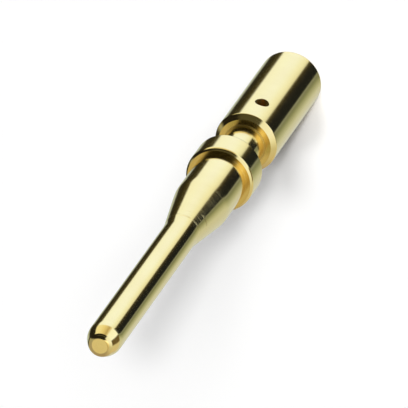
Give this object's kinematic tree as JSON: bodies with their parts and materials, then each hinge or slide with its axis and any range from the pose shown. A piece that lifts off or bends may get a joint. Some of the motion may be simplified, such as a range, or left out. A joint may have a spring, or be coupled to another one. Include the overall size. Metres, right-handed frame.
{
  "type": "crimp contact",
  "caption": "Turned gold-plated male crimp contact: chamfered pin, cone, retaining collar, neck and closed crimp barrel with an inspection hole.",
  "frame": {"origin": "centre of the rear end of the crimp barrel, on which the contact stands", "axes": "+Z along the turning axis from the barrel's mouth to the tip of the pin; the inspection hole faces -Y"},
  "size_m": [0.002, 0.002, 0.0177],
  "materials": {
    "gold_plating": "polished gold plating on turned copper alloy"
  },
  "bodies": {
    "root": {"crimp_contact": "gold_plating"}
  },
  "joints": []
}
